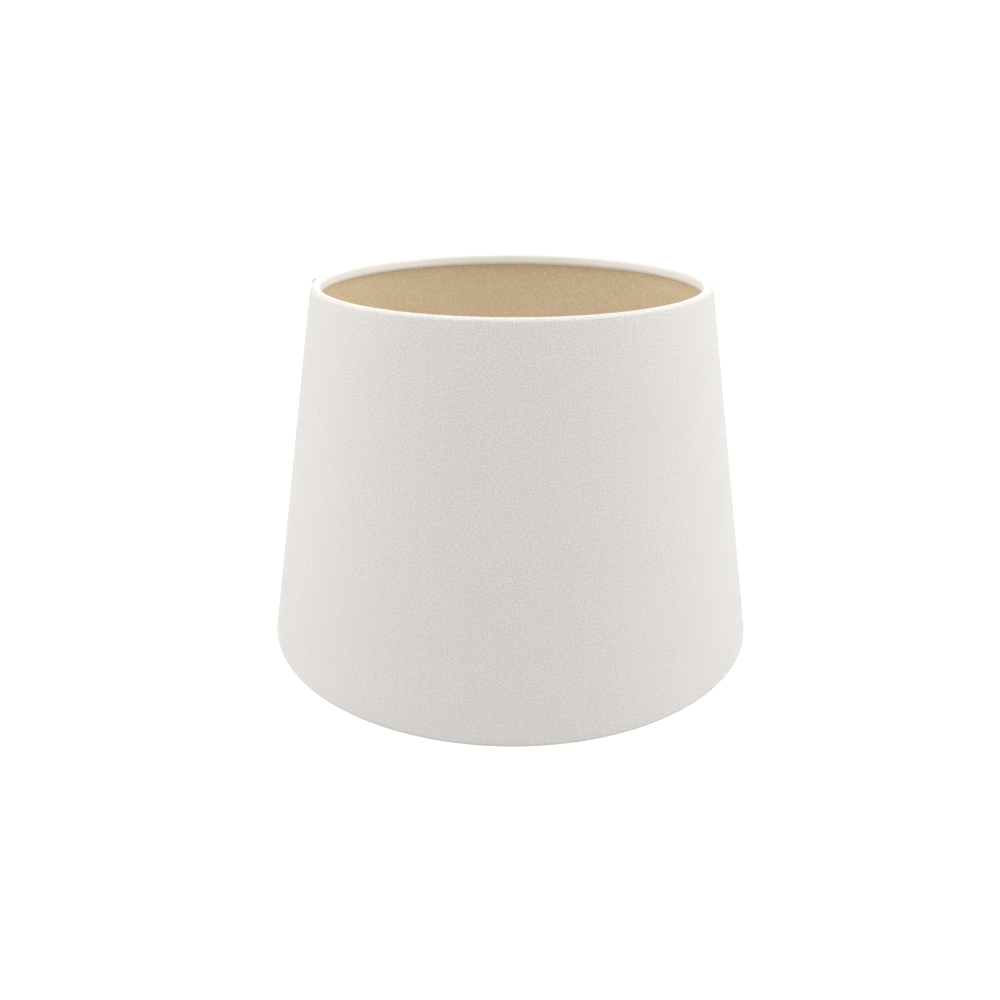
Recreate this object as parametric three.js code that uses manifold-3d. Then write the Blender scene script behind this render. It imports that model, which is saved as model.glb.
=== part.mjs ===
// A tapered lampshade with rolled edges, in millimetres, +Z up.
//
// A stiff plastic lining panel carries the cloth on its outside. The panel is a flat arc rolled
// into a cone, and its two straight ends lap at one seam. A wire ring sits inside each edge of the
// panel, stuck to it by a band of tape, and the cloth turns over the ring and tucks in behind it.
// Three bent wires join the lower ring to a pressed steel fitter ring, raised inside the shade,
// and a loose plastic ring drops into the fitter to reduce its hole for a smaller lampholder.
//
// The origin is the centre of the circle that the shade stands on. The lampshade's front is -Y.

import * as THREE from "three";
import { mergeVertices } from "three/addons/utils/BufferGeometryUtils.js";
import Module from "manifold-3d";

// Overall sizes, over the cloth.
const BASE_DIAMETER = 250;
const TOP_DIAMETER = 190;
const HEIGHT = 178;

// Stock: the wire of the rings and arms, and the sheets that make up the wall.
const RING_WIRE = 3;
const ARM_WIRE = 3;
const CLOTH = 0.5;
const PANEL = 0.35;
const TAPE = 0.15;
const TAPE_WIDTH = 2.2;

// How far the cloth hangs straight down (or stands up) inside a ring before it turns under the wire.
const TUCK_SLACK = 1.9;

// Clearances: between sheets that lie on each other, at a weld, round an arm, and in the fitter.
const GAP = 0.1;
const WELD_GAP = 0.3;
const SLIT_CLEARANCE = 0.5;
const SPIGOT_CLEARANCE = 0.3;

// The seam: the place of the panel's covered end, the steps of the round that lap and rise, the
// share of a step between the ends of a turned edge, and how much the pressure of the lap takes
// off each face of the cloth under it.
const SEAM_DEGREES = 173;
const LAP_STEPS = 1;
const RISE_STEPS = 2;
const TURNING_GAP = 0.2;
const PRESSED = 0.02;

// The fitter: a flat plate with a turned-down skirt, and the arms that hold it. The arms' feet lie
// a little above the underside of the bottom ring, so that the cloth passes under them.
const ARM_DEGREES = [-90, 30, 150];
const ARM_LIFT = 0.5;
const ARM_FOOT = 9;
const ARM_SLOPE_DEGREES = 55;
const ARM_BEND = 6;
const FITTER_HEIGHT = 24;
const FITTER_BORE = 42;
const FITTER_FLANGE = 6.5;
const FITTER_PLATE = 1.2;
const FITTER_SKIRT = 5;
const FITTER_CORNER = 1.6;

// The reducer ring: a flange that rests on the fitter, and a spigot that drops into its hole.
const REDUCER_BORE = 28.6;
const REDUCER_LAND = 4.3;
const REDUCER_FLANGE = 1.8;
const REDUCER_SPIGOT = 3;
const REDUCER_CHAMFER = 0.6;
const NOTCH_COUNT = 4;
const NOTCH_RADIUS = 3;
const NOTCH_DEPTH = 1.5;
const NOTCH_CUTTER = 8;

// How finely round shapes are divided, and the sides of its ring that the cloth's edge covers.
const ROUND_STEPS = 60;
const FITTER_STEPS = 36;
const WIRE_SIDES = 12;
const TUCK_SIDES = 9;
const ARM_STEPS = 22;
const CORNER_STEPS = 3;
const NOTCH_SIDES = 24;

const MATERIALS = {
  cloth: { color: 0xe6e3de, roughness: 0.95, metalness: 0 },
  lining: { color: 0xc2a98a, roughness: 0.5, metalness: 0.35 },
  tape: { color: 0xf0eee6, roughness: 0.6, metalness: 0 },
  steel: { color: 0xe9e7e2, roughness: 0.45, metalness: 0.1 },
  plastic: { color: 0xf2f1ee, roughness: 0.4, metalness: 0 },
};

const radians = THREE.MathUtils.degToRad;

// Distances outwards from the centre of a ring's wire, measured square to the wall.
const ringRadius = RING_WIRE / 2;
const tapeFace = ringRadius + GAP;
const panelFace = tapeFace + TAPE + GAP;
const clothFace = panelFace + PANEL + GAP;
const clothOutside = clothFace + CLOTH;
const rollOutside = ringRadius + GAP + CLOTH;

// At the seam the upper layers rise over the lower ones, and over the seam's tape.
const lapRise = PANEL + GAP + CLOTH + GAP + TAPE + GAP;

// Every wire is a many-sided tube with a level side at its top and its bottom, so the cloth turned
// over a ring stands on a flat band.
const wireTurn = (2 * Math.PI) / WIRE_SIDES;
const flatShare = Math.cos(wireTurn / 2);

// The wall, as a plane figure of radius and height, from one ring's centre to the other's.
const edgeDepth = rollOutside * flatShare;
const lowerWire = new THREE.Vector2(BASE_DIAMETER / 2 - clothOutside, edgeDepth);
const upperWire = new THREE.Vector2(TOP_DIAMETER / 2 - clothOutside, HEIGHT - edgeDepth);
const up = upperWire.clone().sub(lowerWire).normalize();
const outwards = new THREE.Vector2(up.y, -up.x);

// The point at an angle above the horizontal and a distance from a wire's centre.
function roundWire(wire, angle, reach) {
  return new THREE.Vector2(reach * Math.cos(angle), reach * Math.sin(angle)).add(wire);
}

// A point at a distance outwards from a wire's centre and at a distance along the wall from it.
function offWire(wire, out, along = 0) {
  return wire.clone().addScaledVector(outwards, out).addScaledVector(up, along);
}

// The line of one face of the cloth round a ring, from the outside of the wall to the tuck, turning
// upwards over the top ring (side 1) or downwards under the bottom one (side -1). It is at the
// roll's distance from the wire, but bulges out to the wall's before it reaches the shade's edge,
// and runs straight for the tuck's slack on the inside.
function turnedEdge(wire, side, wallReach, rollReach) {
  const wallAngle = outwards.angle();
  const firstCorner = side * 1.5 * wireTurn;
  const edgeCorner = side * 2.5 * wireTurn;
  const angles = [wallAngle, (wallAngle + firstCorner) / 2];
  for (let corner = 0; corner < TUCK_SIDES; corner += 1) {
    angles.push(firstCorner + side * corner * wireTurn);
  }
  return angles.map((angle) => {
    const turned = Math.min(1, (angle - wallAngle) / (edgeCorner - wallAngle));
    const bulge = (wallReach - rollReach) * Math.cos((turned * Math.PI) / 2);
    const point = roundWire(wire, angle, rollReach).addScaledVector(outwards, bulge);
    if (Math.abs(angle) > Math.PI) point.y -= side * TUCK_SLACK;
    return point;
  });
}

// The cloth's closed outline where its wall has risen by a distance.
function clothSection(rise) {
  const wall = clothOutside + rise;
  return [
    ...turnedEdge(lowerWire, -1, wall, rollOutside).reverse(),
    ...turnedEdge(upperWire, 1, wall, rollOutside),
    ...turnedEdge(upperWire, 1, wall - CLOTH, rollOutside - CLOTH).reverse(),
    ...turnedEdge(lowerWire, -1, wall - CLOTH, rollOutside - CLOTH),
  ];
}

// The outline of a flat layer of the wall between two distances outwards, from ring to ring.
function layerSection(inner, outer) {
  return [
    offWire(lowerWire, outer),
    offWire(upperWire, outer),
    offWire(upperWire, inner),
    offWire(lowerWire, inner),
  ];
}

// The outline of a band of tape on the panel's margin, on the side of a ring that side tells.
function bandSection(wire, side) {
  const ends = [0, side * TAPE_WIDTH].sort((a, b) => a - b);
  return [
    offWire(wire, tapeFace + TAPE, ends[0]),
    offWire(wire, tapeFace + TAPE, ends[1]),
    offWire(wire, tapeFace, ends[1]),
    offWire(wire, tapeFace, ends[0]),
  ];
}

// The corners of a wire cut across.
function wireSection(centre, radius) {
  const outline = [];
  for (let side = 0; side < WIRE_SIDES; side += 1) {
    outline.push(roundWire(centre, (side + 0.5) * wireTurn, radius));
  }
  return outline;
}

// A full turn of a closed outline about the shade's axis, divided from the seam as the wall is, so
// that the sides of nested rounds lie along each other.
function revolve(outline, steps) {
  const closed = [...outline, outline[0]];
  const turned = new THREE.LatheGeometry(closed, steps).rotateX(Math.PI / 2);
  return turned.rotateZ(radians(SEAM_DEGREES));
}

// Where a point of the wall's figure is at a step of the round. Between whole steps, it is on the
// flat side that joins them.
function placeAt(point, step) {
  const whole = Math.floor(step);
  const [before, after] = [whole, whole + 1].map((corner) => {
    const turn = radians(SEAM_DEGREES + (corner * 360) / ROUND_STEPS);
    return new THREE.Vector3(point.x * Math.cos(turn), point.x * Math.sin(turn), point.y);
  });
  return before.lerp(after, step - whole);
}

// A sheet that goes round the axis by a list of steps and stops, as a rolled panel does. sectionAt
// gives its outline at a step; every outline has the same number of points.
function sweepRound(sectionAt, steps) {
  const positions = steps.flatMap((step) =>
    sectionAt(step).flatMap((point) => placeAt(point, step).toArray()),
  );
  const corners = sectionAt(steps[0]).length;
  const indices = [];
  for (let row = 0; row < steps.length - 1; row += 1) {
    for (let corner = 0; corner < corners; corner += 1) {
      const next = (corner + 1) % corners;
      const [a, b] = [row * corners + corner, row * corners + next];
      const [c, d] = [a + corners, b + corners];
      indices.push(a, c, b, b, c, d);
    }
  }
  const endRow = (steps.length - 1) * corners;
  for (const [a, b, c] of THREE.ShapeUtils.triangulateShape(sectionAt(steps[0]), [])) {
    indices.push(a, b, c);
  }
  for (const [a, b, c] of THREE.ShapeUtils.triangulateShape(sectionAt(steps.at(-1)), [])) {
    indices.push(endRow + a, endRow + c, endRow + b);
  }
  const geometry = new THREE.BufferGeometry();
  geometry.setAttribute("position", new THREE.Float32BufferAttribute(positions, 3));
  geometry.setIndex(indices);
  return geometry;
}

// The whole steps from one to another, both counted.
function stepsFrom(first, last) {
  return Array.from({ length: last - first + 1 }, (_, index) => first + index);
}

// How far the layers have risen at a step: nothing, then a ramp, then the whole lap.
function riseAt(step) {
  const share = (step - ROUND_STEPS + RISE_STEPS) / RISE_STEPS;
  return lapRise * THREE.MathUtils.clamp(share, 0, 1);
}

const wasm = await Module();
wasm.setup();

function toSolid(geometry) {
  const bare = geometry.clone();
  bare.deleteAttribute("normal");
  bare.deleteAttribute("uv");
  const merged = mergeVertices(bare, 1e-4);
  const mesh = new wasm.Mesh({
    numProp: 3,
    vertProperties: merged.getAttribute("position").array,
    triVerts: new Uint32Array(merged.index.array),
  });
  return new wasm.Manifold(mesh);
}

function toGeometry(solid) {
  const mesh = solid.getMesh();
  const geometry = new THREE.BufferGeometry();
  geometry.setAttribute("position", new THREE.BufferAttribute(mesh.vertProperties, 3));
  geometry.setIndex(new THREE.BufferAttribute(mesh.triVerts, 1));
  return geometry;
}

const shade = new THREE.Group();

function add(name, geometry, material) {
  const mesh = new THREE.Mesh(geometry, new THREE.MeshStandardMaterial(MATERIALS[material]));
  mesh.name = name;
  shade.add(mesh);
}

const armUnderside = lowerWire.y - ringRadius + ARM_LIFT;

// The slit that lets an arm through the lower turned edge, from the tuck down past the arm. It
// starts well inside the cloth, whose flat sides come a little nearer to the axis than its corners.
function slit(degrees) {
  const width = ARM_WIRE + 2 * SLIT_CLEARANCE;
  const innerSide = lowerWire.x - 2 * rollOutside;
  const outerSide = lowerWire.x + ringRadius - GAP;
  const top = lowerWire.y + rollOutside + TUCK_SLACK + GAP;
  const bottom = armUnderside - SLIT_CLEARANCE;
  const box = new THREE.BoxGeometry(outerSide - innerSide, width, top - bottom);
  box.translate((innerSide + outerSide) / 2, 0, (top + bottom) / 2);
  return box.rotateZ(radians(degrees));
}

const lastStep = ROUND_STEPS + LAP_STEPS;

// The cloth goes once round and over its own start, where its turnings are trimmed off so that
// each rolled edge is one layer thick. The start is pressed a little thinner, and its last step
// lies inside the rest, which joins the two.
function addCover() {
  const startSection = layerSection(clothFace + PRESSED, clothOutside - PRESSED);
  const start = sweepRound(() => startSection, stepsFrom(0, LAP_STEPS + 1));
  const roundSteps = [LAP_STEPS + TURNING_GAP, ...stepsFrom(LAP_STEPS + 1, lastStep)];
  const round = sweepRound((step) => clothSection(riseAt(step)), roundSteps);
  let cloth = toSolid(start).add(toSolid(round));
  for (const degrees of ARM_DEGREES) cloth = cloth.subtract(toSolid(slit(degrees)));
  add("fabric_cover", toGeometry(cloth), "cloth");
}

function addPanel() {
  const panelAt = (step) => {
    const face = panelFace + riseAt(step);
    return layerSection(face, face + PANEL);
  };
  add("lining_panel", sweepRound(panelAt, stepsFrom(0, lastStep)), "lining");
  const seamFace = clothOutside + GAP;
  const seamAt = () => layerSection(seamFace, seamFace + TAPE);
  add("seam_tape", sweepRound(seamAt, stepsFrom(0, LAP_STEPS)), "tape");
}

function addRings() {
  add("top_ring", revolve(wireSection(upperWire, ringRadius), ROUND_STEPS), "steel");
  add("bottom_ring", revolve(wireSection(lowerWire, ringRadius), ROUND_STEPS), "steel");
  add("top_edge_tape", revolve(bandSection(upperWire, -1), ROUND_STEPS), "tape");
  add("bottom_edge_tape", revolve(bandSection(lowerWire, 1), ROUND_STEPS), "tape");
}

// A wire's centreline through corner points, with each inner corner rounded.
function bentLine(points, bend) {
  const path = new THREE.CurvePath();
  let from = points[0];
  for (let i = 1; i < points.length - 1; i += 1) {
    const corner = points[i];
    const before = corner.clone().add(points[i - 1].clone().sub(corner).setLength(bend));
    const after = corner.clone().add(points[i + 1].clone().sub(corner).setLength(bend));
    path.add(new THREE.LineCurve3(from, before));
    path.add(new THREE.QuadraticBezierCurve3(before, corner, after));
    from = after;
  }
  path.add(new THREE.LineCurve3(from, points[points.length - 1]));
  return path;
}

const fitterOutside = FITTER_BORE / 2 + FITTER_FLANGE;

function addArms() {
  const footLevel = armUnderside + ARM_WIRE / 2;
  const topLevel = FITTER_HEIGHT - FITTER_SKIRT / 2;
  const outerEnd = lowerWire.x - ringRadius - WELD_GAP;
  const run = (topLevel - footLevel) / Math.tan(radians(ARM_SLOPE_DEGREES));
  const corners = [
    new THREE.Vector3(outerEnd, 0, footLevel),
    new THREE.Vector3(outerEnd - ARM_FOOT, 0, footLevel),
    new THREE.Vector3(outerEnd - ARM_FOOT - run, 0, topLevel),
    new THREE.Vector3(fitterOutside + WELD_GAP, 0, topLevel),
  ];
  const section = new THREE.Shape(wireSection(new THREE.Vector2(), ARM_WIRE / 2));
  const options = { steps: ARM_STEPS, extrudePath: bentLine(corners, ARM_BEND) };
  ARM_DEGREES.forEach((degrees, index) => {
    const arm = new THREE.ExtrudeGeometry(section, options);
    add(`fitter_arm_${index + 1}`, arm.rotateZ(radians(degrees)), "steel");
  });
}

function addFitter() {
  const bore = FITTER_BORE / 2;
  const foot = FITTER_HEIGHT - FITTER_SKIRT;
  const outline = [new THREE.Vector2(fitterOutside, foot)];
  for (let step = 0; step <= CORNER_STEPS; step += 1) {
    const turn = (step * Math.PI) / 2 / CORNER_STEPS;
    const back = FITTER_CORNER * (1 - Math.cos(turn));
    const rise = FITTER_CORNER * (1 - Math.sin(turn));
    outline.push(new THREE.Vector2(fitterOutside - back, FITTER_HEIGHT - rise));
  }
  outline.push(
    new THREE.Vector2(bore, FITTER_HEIGHT),
    new THREE.Vector2(bore, FITTER_HEIGHT - FITTER_PLATE),
    new THREE.Vector2(fitterOutside - FITTER_PLATE, FITTER_HEIGHT - FITTER_PLATE),
    new THREE.Vector2(fitterOutside - FITTER_PLATE, foot),
  );
  add("fitter_ring", revolve(outline, FITTER_STEPS), "steel");
}

function addReducer() {
  const bore = REDUCER_BORE / 2;
  const spigot = FITTER_BORE / 2 - SPIGOT_CLEARANCE;
  const rim = spigot + REDUCER_LAND;
  const seat = FITTER_HEIGHT + GAP;
  const outline = [
    [bore, seat - REDUCER_SPIGOT],
    [spigot - REDUCER_CHAMFER, seat - REDUCER_SPIGOT],
    [spigot, seat - REDUCER_SPIGOT + REDUCER_CHAMFER],
    [spigot, seat],
    [rim, seat],
    [rim, seat + REDUCER_FLANGE - REDUCER_CHAMFER],
    [rim - REDUCER_CHAMFER, seat + REDUCER_FLANGE],
    [bore, seat + REDUCER_FLANGE],
  ].map(([radius, height]) => new THREE.Vector2(radius, height));
  const size = [NOTCH_RADIUS, NOTCH_RADIUS, NOTCH_CUTTER, NOTCH_SIDES];
  let ring = toSolid(revolve(outline, FITTER_STEPS));
  for (let notch = 0; notch < NOTCH_COUNT; notch += 1) {
    const cutter = new THREE.CylinderGeometry(...size).rotateX(Math.PI / 2);
    cutter.translate(rim + NOTCH_RADIUS - NOTCH_DEPTH, 0, seat);
    cutter.rotateZ(((notch + 0.5) * 2 * Math.PI) / NOTCH_COUNT);
    ring = ring.subtract(toSolid(cutter));
  }
  add("reducer_ring", toGeometry(ring), "plastic");
}

addCover();
addPanel();
addRings();
addArms();
addFitter();
addReducer();

export default shade;
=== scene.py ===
"""The looks of a tapered, rolled-edge lamp shade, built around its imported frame.

The cloth cover and the lining panel are sheets that follow the ring wires of the frame. The wires,
the welds and the fitter's rings are turned and swept. All sizes are in metres.
"""

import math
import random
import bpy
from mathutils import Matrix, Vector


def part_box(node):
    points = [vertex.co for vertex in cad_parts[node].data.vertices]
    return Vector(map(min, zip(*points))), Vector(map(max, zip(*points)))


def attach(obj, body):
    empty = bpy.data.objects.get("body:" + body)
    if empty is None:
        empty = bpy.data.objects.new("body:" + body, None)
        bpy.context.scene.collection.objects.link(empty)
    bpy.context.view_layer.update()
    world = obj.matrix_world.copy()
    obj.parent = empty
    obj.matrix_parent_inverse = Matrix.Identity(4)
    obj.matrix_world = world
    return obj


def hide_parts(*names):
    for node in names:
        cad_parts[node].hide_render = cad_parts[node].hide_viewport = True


bl_info = {
    "name": "Tapered Lamp Shade",
    "version": (1, 0, 0),
    "blender": (4, 5, 0),
    "location": "3D View > Sidebar > Lamp Shade",
    "description": "Makes a hard-lined cloth lamp shade with rolled edges and a recessed fitter",
    "category": "Object",
}

import bpy
import numpy as np
from bpy.props import FloatProperty, FloatVectorProperty, PointerProperty
from mathutils import Vector

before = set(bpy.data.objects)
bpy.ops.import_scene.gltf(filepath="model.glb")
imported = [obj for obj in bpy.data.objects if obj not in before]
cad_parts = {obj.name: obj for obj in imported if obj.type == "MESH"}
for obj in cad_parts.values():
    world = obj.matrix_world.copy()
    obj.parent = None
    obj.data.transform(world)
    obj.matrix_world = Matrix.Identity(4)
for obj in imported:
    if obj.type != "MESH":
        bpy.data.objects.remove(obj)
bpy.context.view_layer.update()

MM = 0.001
SEED = 11
SHADE_BODY = "shade"
REDUCER_BODY = "reducer"

# Places read from the frame ------------------------------------------------------------------


def spread(node):
    """Least and greatest distance of a node's corners from the shade's axis."""
    ways = [math.hypot(v.co.x, v.co.y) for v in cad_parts[node].data.vertices]
    return min(ways), max(ways)


def ring_line(node):
    """The radius and height of the centre line of a ring's wire."""
    low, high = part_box(node)
    half = (high.z - low.z) / 2
    return np.array([spread(node)[1] - half, low.z + half])


LOWER_WIRE = ring_line("bottom_ring")
UPPER_WIRE = ring_line("top_ring")
SLANT = float(np.linalg.norm(UPPER_WIRE - LOWER_WIRE))
UP = (UPPER_WIRE - LOWER_WIRE) / SLANT
OUT = np.array([UP[1], -UP[0]])
WALL_ANGLE = math.atan2(OUT[1], OUT[0])

# The seam starts where the frame's panel does, and the cloth ends one step of the round later.
SEAM_START = math.radians(173)
SEAM_LAP = math.radians(6)
SEAM_RAMP = math.radians(12)
SEAM_END = SEAM_START + 2 * math.pi + SEAM_LAP

FRONT = math.radians(270)
ARM_TURNS = [math.radians(degrees) for degrees in (-90, 30, 150)]

# The edge of the shade is this far from each wire, so it ends level with the frame.
ROLL_REACH = float(LOWER_WIRE[1])

# Sizes that the frame has too: clearances, the arms, the fitter's plate and the reducer's notches.
SHEET_GAP = 0.1 * MM
SLIT_CLEARANCE = 0.3 * MM
SPIGOT_CLEARANCE = 0.3 * MM
ARM_FOOT = 9 * MM
ARM_SLOPE = math.radians(55)
ARM_BEND = 6 * MM
FITTER_PLATE = 1.2 * MM
NOTCH_COUNT = 4
NOTCH_RADIUS = 3 * MM
NOTCH_DEPTH = 1.5 * MM

# Details that the frame leaves out: rounded corners, the ribs that centre the reducer, each as
# high as a share of its spigot, and the lumps on the weld beads.
FITTER_CORNER = 0.45 * MM
REDUCER_CORNER = 0.5 * MM
RIB_COUNT = 8
RIB_WIDTH = 1 * MM
RIB_SHARE = 0.8
BEAD_LUMPS = 0.9 * MM

# How finely round things are divided, and where a fold counts as sharp.
COVER_STEP = math.radians(0.8)
LINING_STEP = math.radians(1)
LINING_POINTS = 24
RING_SIDES = 240
WIRE_SIDES = 20
BEND_STEPS = 8
FITTER_SIDES = 180
REDUCER_SIDES = 360
SHEET_CREASE = math.radians(35)
METAL_CREASE = math.radians(50)


# Sizes and colours ---------------------------------------------------------------------------


def length(name, description, millimetres):
    return FloatProperty(
        name=name,
        description=description,
        default=millimetres * MM,
        precision=5,
        subtype="DISTANCE",
        unit="LENGTH",
    )


def colour(name, description, value):
    return FloatVectorProperty(
        name=name, description=description, default=value, size=3, min=0, max=1, subtype="COLOR"
    )


def angle(name, description, degrees):
    return FloatProperty(
        name=name, description=description, default=math.radians(degrees), subtype="ANGLE"
    )


def share(name, description, value):
    return FloatProperty(name=name, description=description, default=value, min=0, soft_max=1)


class LampShadeCloth(bpy.types.PropertyGroup):
    """The woven cover"""

    thickness: length("Thickness", "Thickness of the cloth", 0.5)
    wall_reach: length("Wall reach", "From a ring's centre to the outside of the wall", 2.8)
    lap_rise: length("Lap rise", "How far the outer end stands over the inner one", 1.3)
    fold: length("Fold", "Width of the turned-under end at the seam", 0.5)
    groove: length("Groove", "Depth of the hollow beside each ring", 0.1)
    pucker: length("Pucker", "Height of the gathers in the tucked margin", 0.16)
    slack: length("Slack", "Straight part of the tucked margin inside a ring", 1.9)
    thread: length("Thread", "Distance from thread to thread", 0.38)
    relief: length("Relief", "Height of the weave", 0.12)
    base: colour("Cloth", "Colour of the threads' crowns", (0.925, 0.892, 0.86))
    # Painted shade: the cloth is darker in the weave's hollows between the threads.
    hollow: colour("Hollows", "Painted shade between the threads", (0.74, 0.705, 0.675))
    # Lighter colour on the cloth over the rings: partly the doubled cloth, partly a painted
    # highlight on the rolled edges.
    doubled_and_highlight: colour("Doubled cloth and highlight", "Colour where cloth lies over a ring, partly a painted highlight", (0.98, 0.97, 0.95))


class LampShadeLining(bpy.types.PropertyGroup):
    """The stiff metallic lining panel"""

    inner_reach: length("Inner reach", "From a ring's centre to the panel's inner face", 1.85)
    thickness: length("Thickness", "Thickness of the panel", 0.35)
    base: colour("Metallic face", "Colour of the lining", (0.805, 0.672, 0.483))
    fleck: colour("Flecks", "Colour of the brighter grains", (0.98, 0.88, 0.70))
    shine: share("Shine", "How metallic the face is", 0.45)


class LampShadeMetal(bpy.types.PropertyGroup):
    """The coated wires and the fitter"""

    wire: length("Wire", "Radius of the rings' and arms' wire", 1.5)
    bead: length("Weld bead", "Radius of a weld", 1.5)
    base: colour("Coating", "Colour of the powder coat", (0.80, 0.79, 0.77))
    worn: colour("Wear", "Colour where the coat is rubbed", (0.56, 0.55, 0.53))


class LampShadeReducer(bpy.types.PropertyGroup):
    """The loose reducer ring"""

    rib: length("Rib", "How far a centring rib stands out of the spigot", 0.2)
    base: colour("Plastic", "Colour of the plastic", (0.78, 0.775, 0.755))


class LampShadeStudio(bpy.types.PropertyGroup):
    """The camera and the light"""

    distance: length("Camera distance", "From the shade's axis, level", 454.1)
    height: length("Camera height", "Above the floor", 249.9)
    pitch: angle("Pitch", "How far the camera looks down", 22.285)
    yaw: angle("Yaw", "How far the camera looks to the left", 0.69)
    lens: FloatProperty(
        name="Lens", description="Focal length in millimetres", default=33.65, min=1, unit="CAMERA"
    )
    sky: share("Room light", "Brightness of the room", 0.53)
    floor_glow: share("Floor glow", "Light that the floor gives to the shade", 0.63)
    paper: share("Paper", "How bright the floor and the room look", 1.05)


GROUPS = {
    "lampshade_cloth": LampShadeCloth,
    "lampshade_lining": LampShadeLining,
    "lampshade_metal": LampShadeMetal,
    "lampshade_reducer": LampShadeReducer,
    "lampshade_studio": LampShadeStudio,
}


# Plane figures of radius and height ----------------------------------------------------------


def on_wire(wire, angles, reach):
    """Points round a wire, at angles above the horizontal."""
    way = np.stack([np.cos(angles), np.sin(angles)], axis=-1)
    return wire + way * np.asarray(reach)[..., None]


def rounded(corners, radius, steps=5, most=0.45):
    """A closed outline with each corner cut to an arc of about that radius, which takes up no more
    than a share of the shorter side beside it."""
    corners = [np.array(c, float) for c in corners]
    outline = []
    for i, corner in enumerate(corners):
        before = corners[i - 1] - corner
        after = corners[(i + 1) % len(corners)] - corner
        reach = min(radius, np.linalg.norm(before) * most, np.linalg.norm(after) * most)
        start = corner + before / np.linalg.norm(before) * reach
        end = corner + after / np.linalg.norm(after) * reach
        for t in np.linspace(0, 1, steps):
            outline.append((1 - t) ** 2 * start + 2 * t * (1 - t) * corner + t**2 * end)
    return np.array(outline)


def smooth_step(x):
    x = np.clip(x, 0, 1)
    return x * x * (3 - 2 * x)


def ripple(turns, waves, seed):
    """A wave round the axis made of several whole numbers of waves, between about -1 and 1."""
    draw = random.Random(seed)
    total = np.zeros_like(turns)
    for count in waves:
        total += draw.uniform(0.5, 1) * np.sin(count * turns + draw.uniform(0, 2 * math.pi))
    return total / len(waves)


# Meshes --------------------------------------------------------------------------------------


def revolve_points(figure, turns):
    """Points of space from points of radius and height (rows, columns, 2) at one turn a row."""
    radius, height = figure[..., 0], figure[..., 1]
    turn = turns[:, None]
    return np.stack([radius * np.cos(turn), radius * np.sin(turn), height], axis=-1)


def link(name, vertices, faces, sharp=SHEET_CREASE):
    mesh = bpy.data.meshes.new(name)
    mesh.from_pydata([tuple(v) for v in vertices], [], faces)
    mesh.polygons.foreach_set("use_smooth", [True] * len(mesh.polygons))
    mesh.set_sharp_from_angle(angle=sharp)
    mesh.update()
    piece = bpy.data.objects.new(name, mesh)
    bpy.context.scene.collection.objects.link(piece)
    return piece


def set_uv(piece, places):
    layer = piece.data.uv_layers.new(name="Flat")
    corners = np.zeros(len(piece.data.loops), int)
    piece.data.loops.foreach_get("vertex_index", corners)
    layer.data.foreach_set("uv", places[corners].astype(np.float32).ravel())


def sheet_piece(name, outer, inner, flat, present):
    """A closed sheet between two grids of points. present says which cells of the grid it has;
    flat gives each point's place on the sheet laid flat."""
    rows, columns = outer.shape[:2]
    count = rows * columns
    faces = []

    def corner(side, row, column):
        return side * count + row * columns + column

    def has(row, column):
        inside = 0 <= row < rows - 1 and 0 <= column < columns - 1
        return inside and bool(present[row, column])

    for row in range(rows - 1):
        for column in range(columns - 1):
            if not has(row, column):
                continue
            ring = [(row, column), (row + 1, column), (row + 1, column + 1), (row, column + 1)]
            faces.append([corner(0, *place) for place in ring])
            faces.append([corner(1, *place) for place in reversed(ring)])
            beyond = [(row, column - 1), (row + 1, column), (row, column + 1), (row - 1, column)]
            for i, neighbour in enumerate(beyond):
                if not has(*neighbour):
                    a, b = ring[i], ring[(i + 1) % 4]
                    faces.append([corner(0, *b), corner(0, *a), corner(1, *a), corner(1, *b)])
    used = sorted({v for face in faces for v in face})
    place = {v: i for i, v in enumerate(used)}
    points = np.concatenate([outer.reshape(-1, 3), inner.reshape(-1, 3)])[used]
    piece = link(name, points, [[place[v] for v in face] for face in faces])
    set_uv(piece, np.concatenate([flat.reshape(-1, 2)] * 2)[used])
    return piece, used


def set_points(piece, name, values, kept):
    """A value for each point of a sheet piece, from one for each point of its grids."""
    both = np.concatenate([values.ravel()] * 2)[kept]
    piece.data.attributes.new(name, "FLOAT", "POINT").data.foreach_set("value", both)


def turned_piece(name, sections, turns):
    """A closed ring from one closed outline a turn, each with the same number of points."""
    points = revolve_points(sections, turns).reshape(-1, 3)
    rows, columns = sections.shape[:2]
    faces = []
    for row in range(rows):
        ahead = (row + 1) % rows
        for column in range(columns):
            beside = (column + 1) % columns
            ring = [(row, column), (ahead, column), (ahead, beside), (row, beside)]
            faces.append([r * columns + c for r, c in ring])
    return link(name, points, faces, sharp=METAL_CREASE)


def round_turns(count):
    return np.arange(count) * 2 * math.pi / count


# Node trees ----------------------------------------------------------------------------------


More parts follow.
